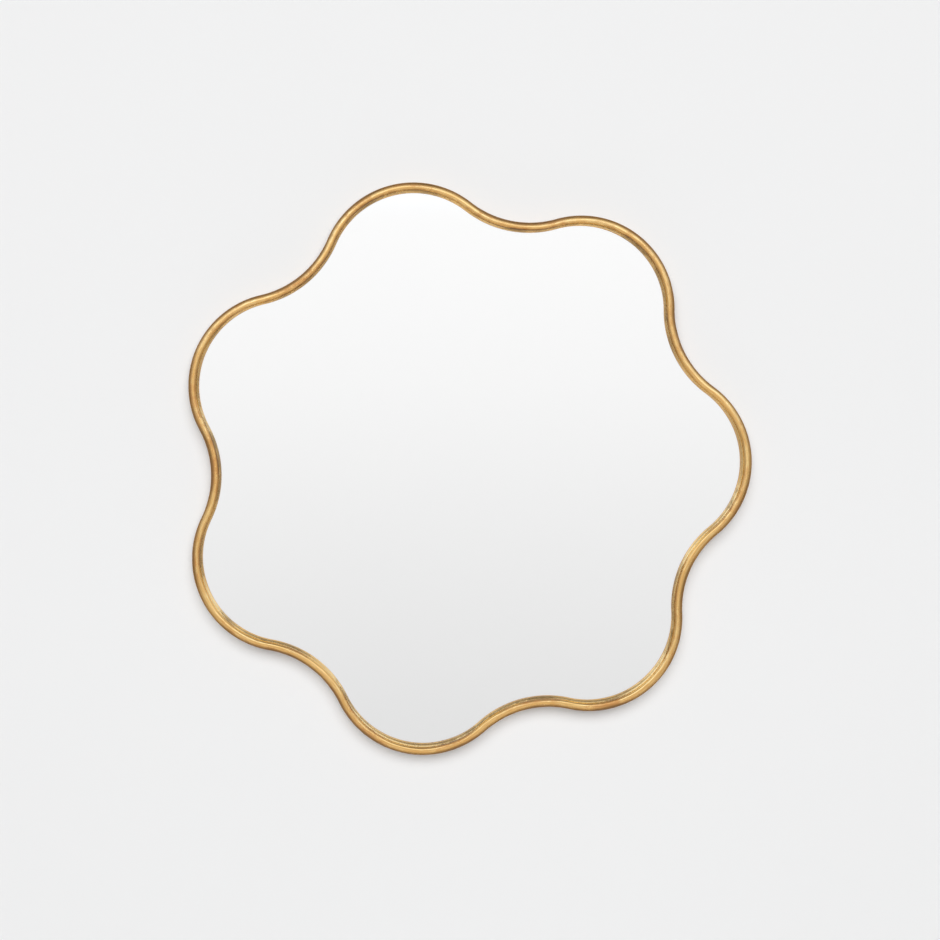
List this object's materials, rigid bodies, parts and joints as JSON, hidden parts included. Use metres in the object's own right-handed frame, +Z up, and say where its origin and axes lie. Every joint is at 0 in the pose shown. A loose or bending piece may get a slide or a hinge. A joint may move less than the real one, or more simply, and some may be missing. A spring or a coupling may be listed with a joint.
{
  "type": "irregular shaped mirror",
  "caption": "Wall mirror with a wavy flower-like outline, a thin round gold-leafed metal bead round the glass, a backing board and swinging D-rings behind it.",
  "frame": {"origin": "middle of the wavy outline, on the wall plane that the bumpers' flat faces touch", "axes": "+X to the viewer's right, +Z up, +Y from the viewer into the wall, so the mirror faces -Y"},
  "size_m": [0.902, 0.0304, 0.9164],
  "materials": {
    "gold_leaf": "satin",
    "clear_glass": "polished",
    "silver": "polished",
    "foam": "matte",
    "board": "matte",
    "tab_steel": "satin",
    "zinc_screw": "satin",
    "nickel_plate": "polished",
    "bumper_rubber": "matte"
  },
  "bodies": {
    "mirror": {"backing_board": "board", "bumper_1": "bumper_rubber", "bumper_2": "bumper_rubber", "bumper_3": "bumper_rubber", "bumper_4": "bumper_rubber", "bumper_5": "bumper_rubber", "bumper_6": "bumper_rubber", "bumper_7": "bumper_rubber", "foam_sheet": "foam", "frame_band": "gold_leaf", "frame_bead": "gold_leaf", "hanger_screws": "zinc_screw", "hanger_strap_left": "nickel_plate", "hanger_strap_right": "nickel_plate", "lobe_tab_1": "tab_steel", "lobe_tab_2": "tab_steel", "lobe_tab_3": "tab_steel", "lobe_tab_4": "tab_steel", "lobe_tab_5": "tab_steel", "lobe_tab_6": "tab_steel", "lobe_tab_7": "tab_steel", "mirror_glass": "clear_glass", "silver_coating": "silver", "tab_screws": "zinc_screw", "valley_tab_1": "tab_steel", "valley_tab_2": "tab_steel", "valley_tab_3": "tab_steel", "valley_tab_4": "tab_steel", "valley_tab_5": "tab_steel", "valley_tab_6": "tab_steel", "valley_tab_7": "tab_steel"},
    "ring_left": {"hanger_ring_left": "nickel_plate"},
    "ring_right": {"hanger_ring_right": "nickel_plate"}
  },
  "joints": [
    {"name": "left_ring_swing", "type": "hinge", "parent": "mirror", "child": "ring_left", "pos_m": [-0.19, -0.00354, 0.175], "axis": [1, 0, 0], "range_deg": [0, 176]},
    {"name": "right_ring_swing", "type": "hinge", "parent": "mirror", "child": "ring_right", "pos_m": [0.19, -0.00354, 0.175], "axis": [1, 0, 0], "range_deg": [0, 176]}
  ]
}
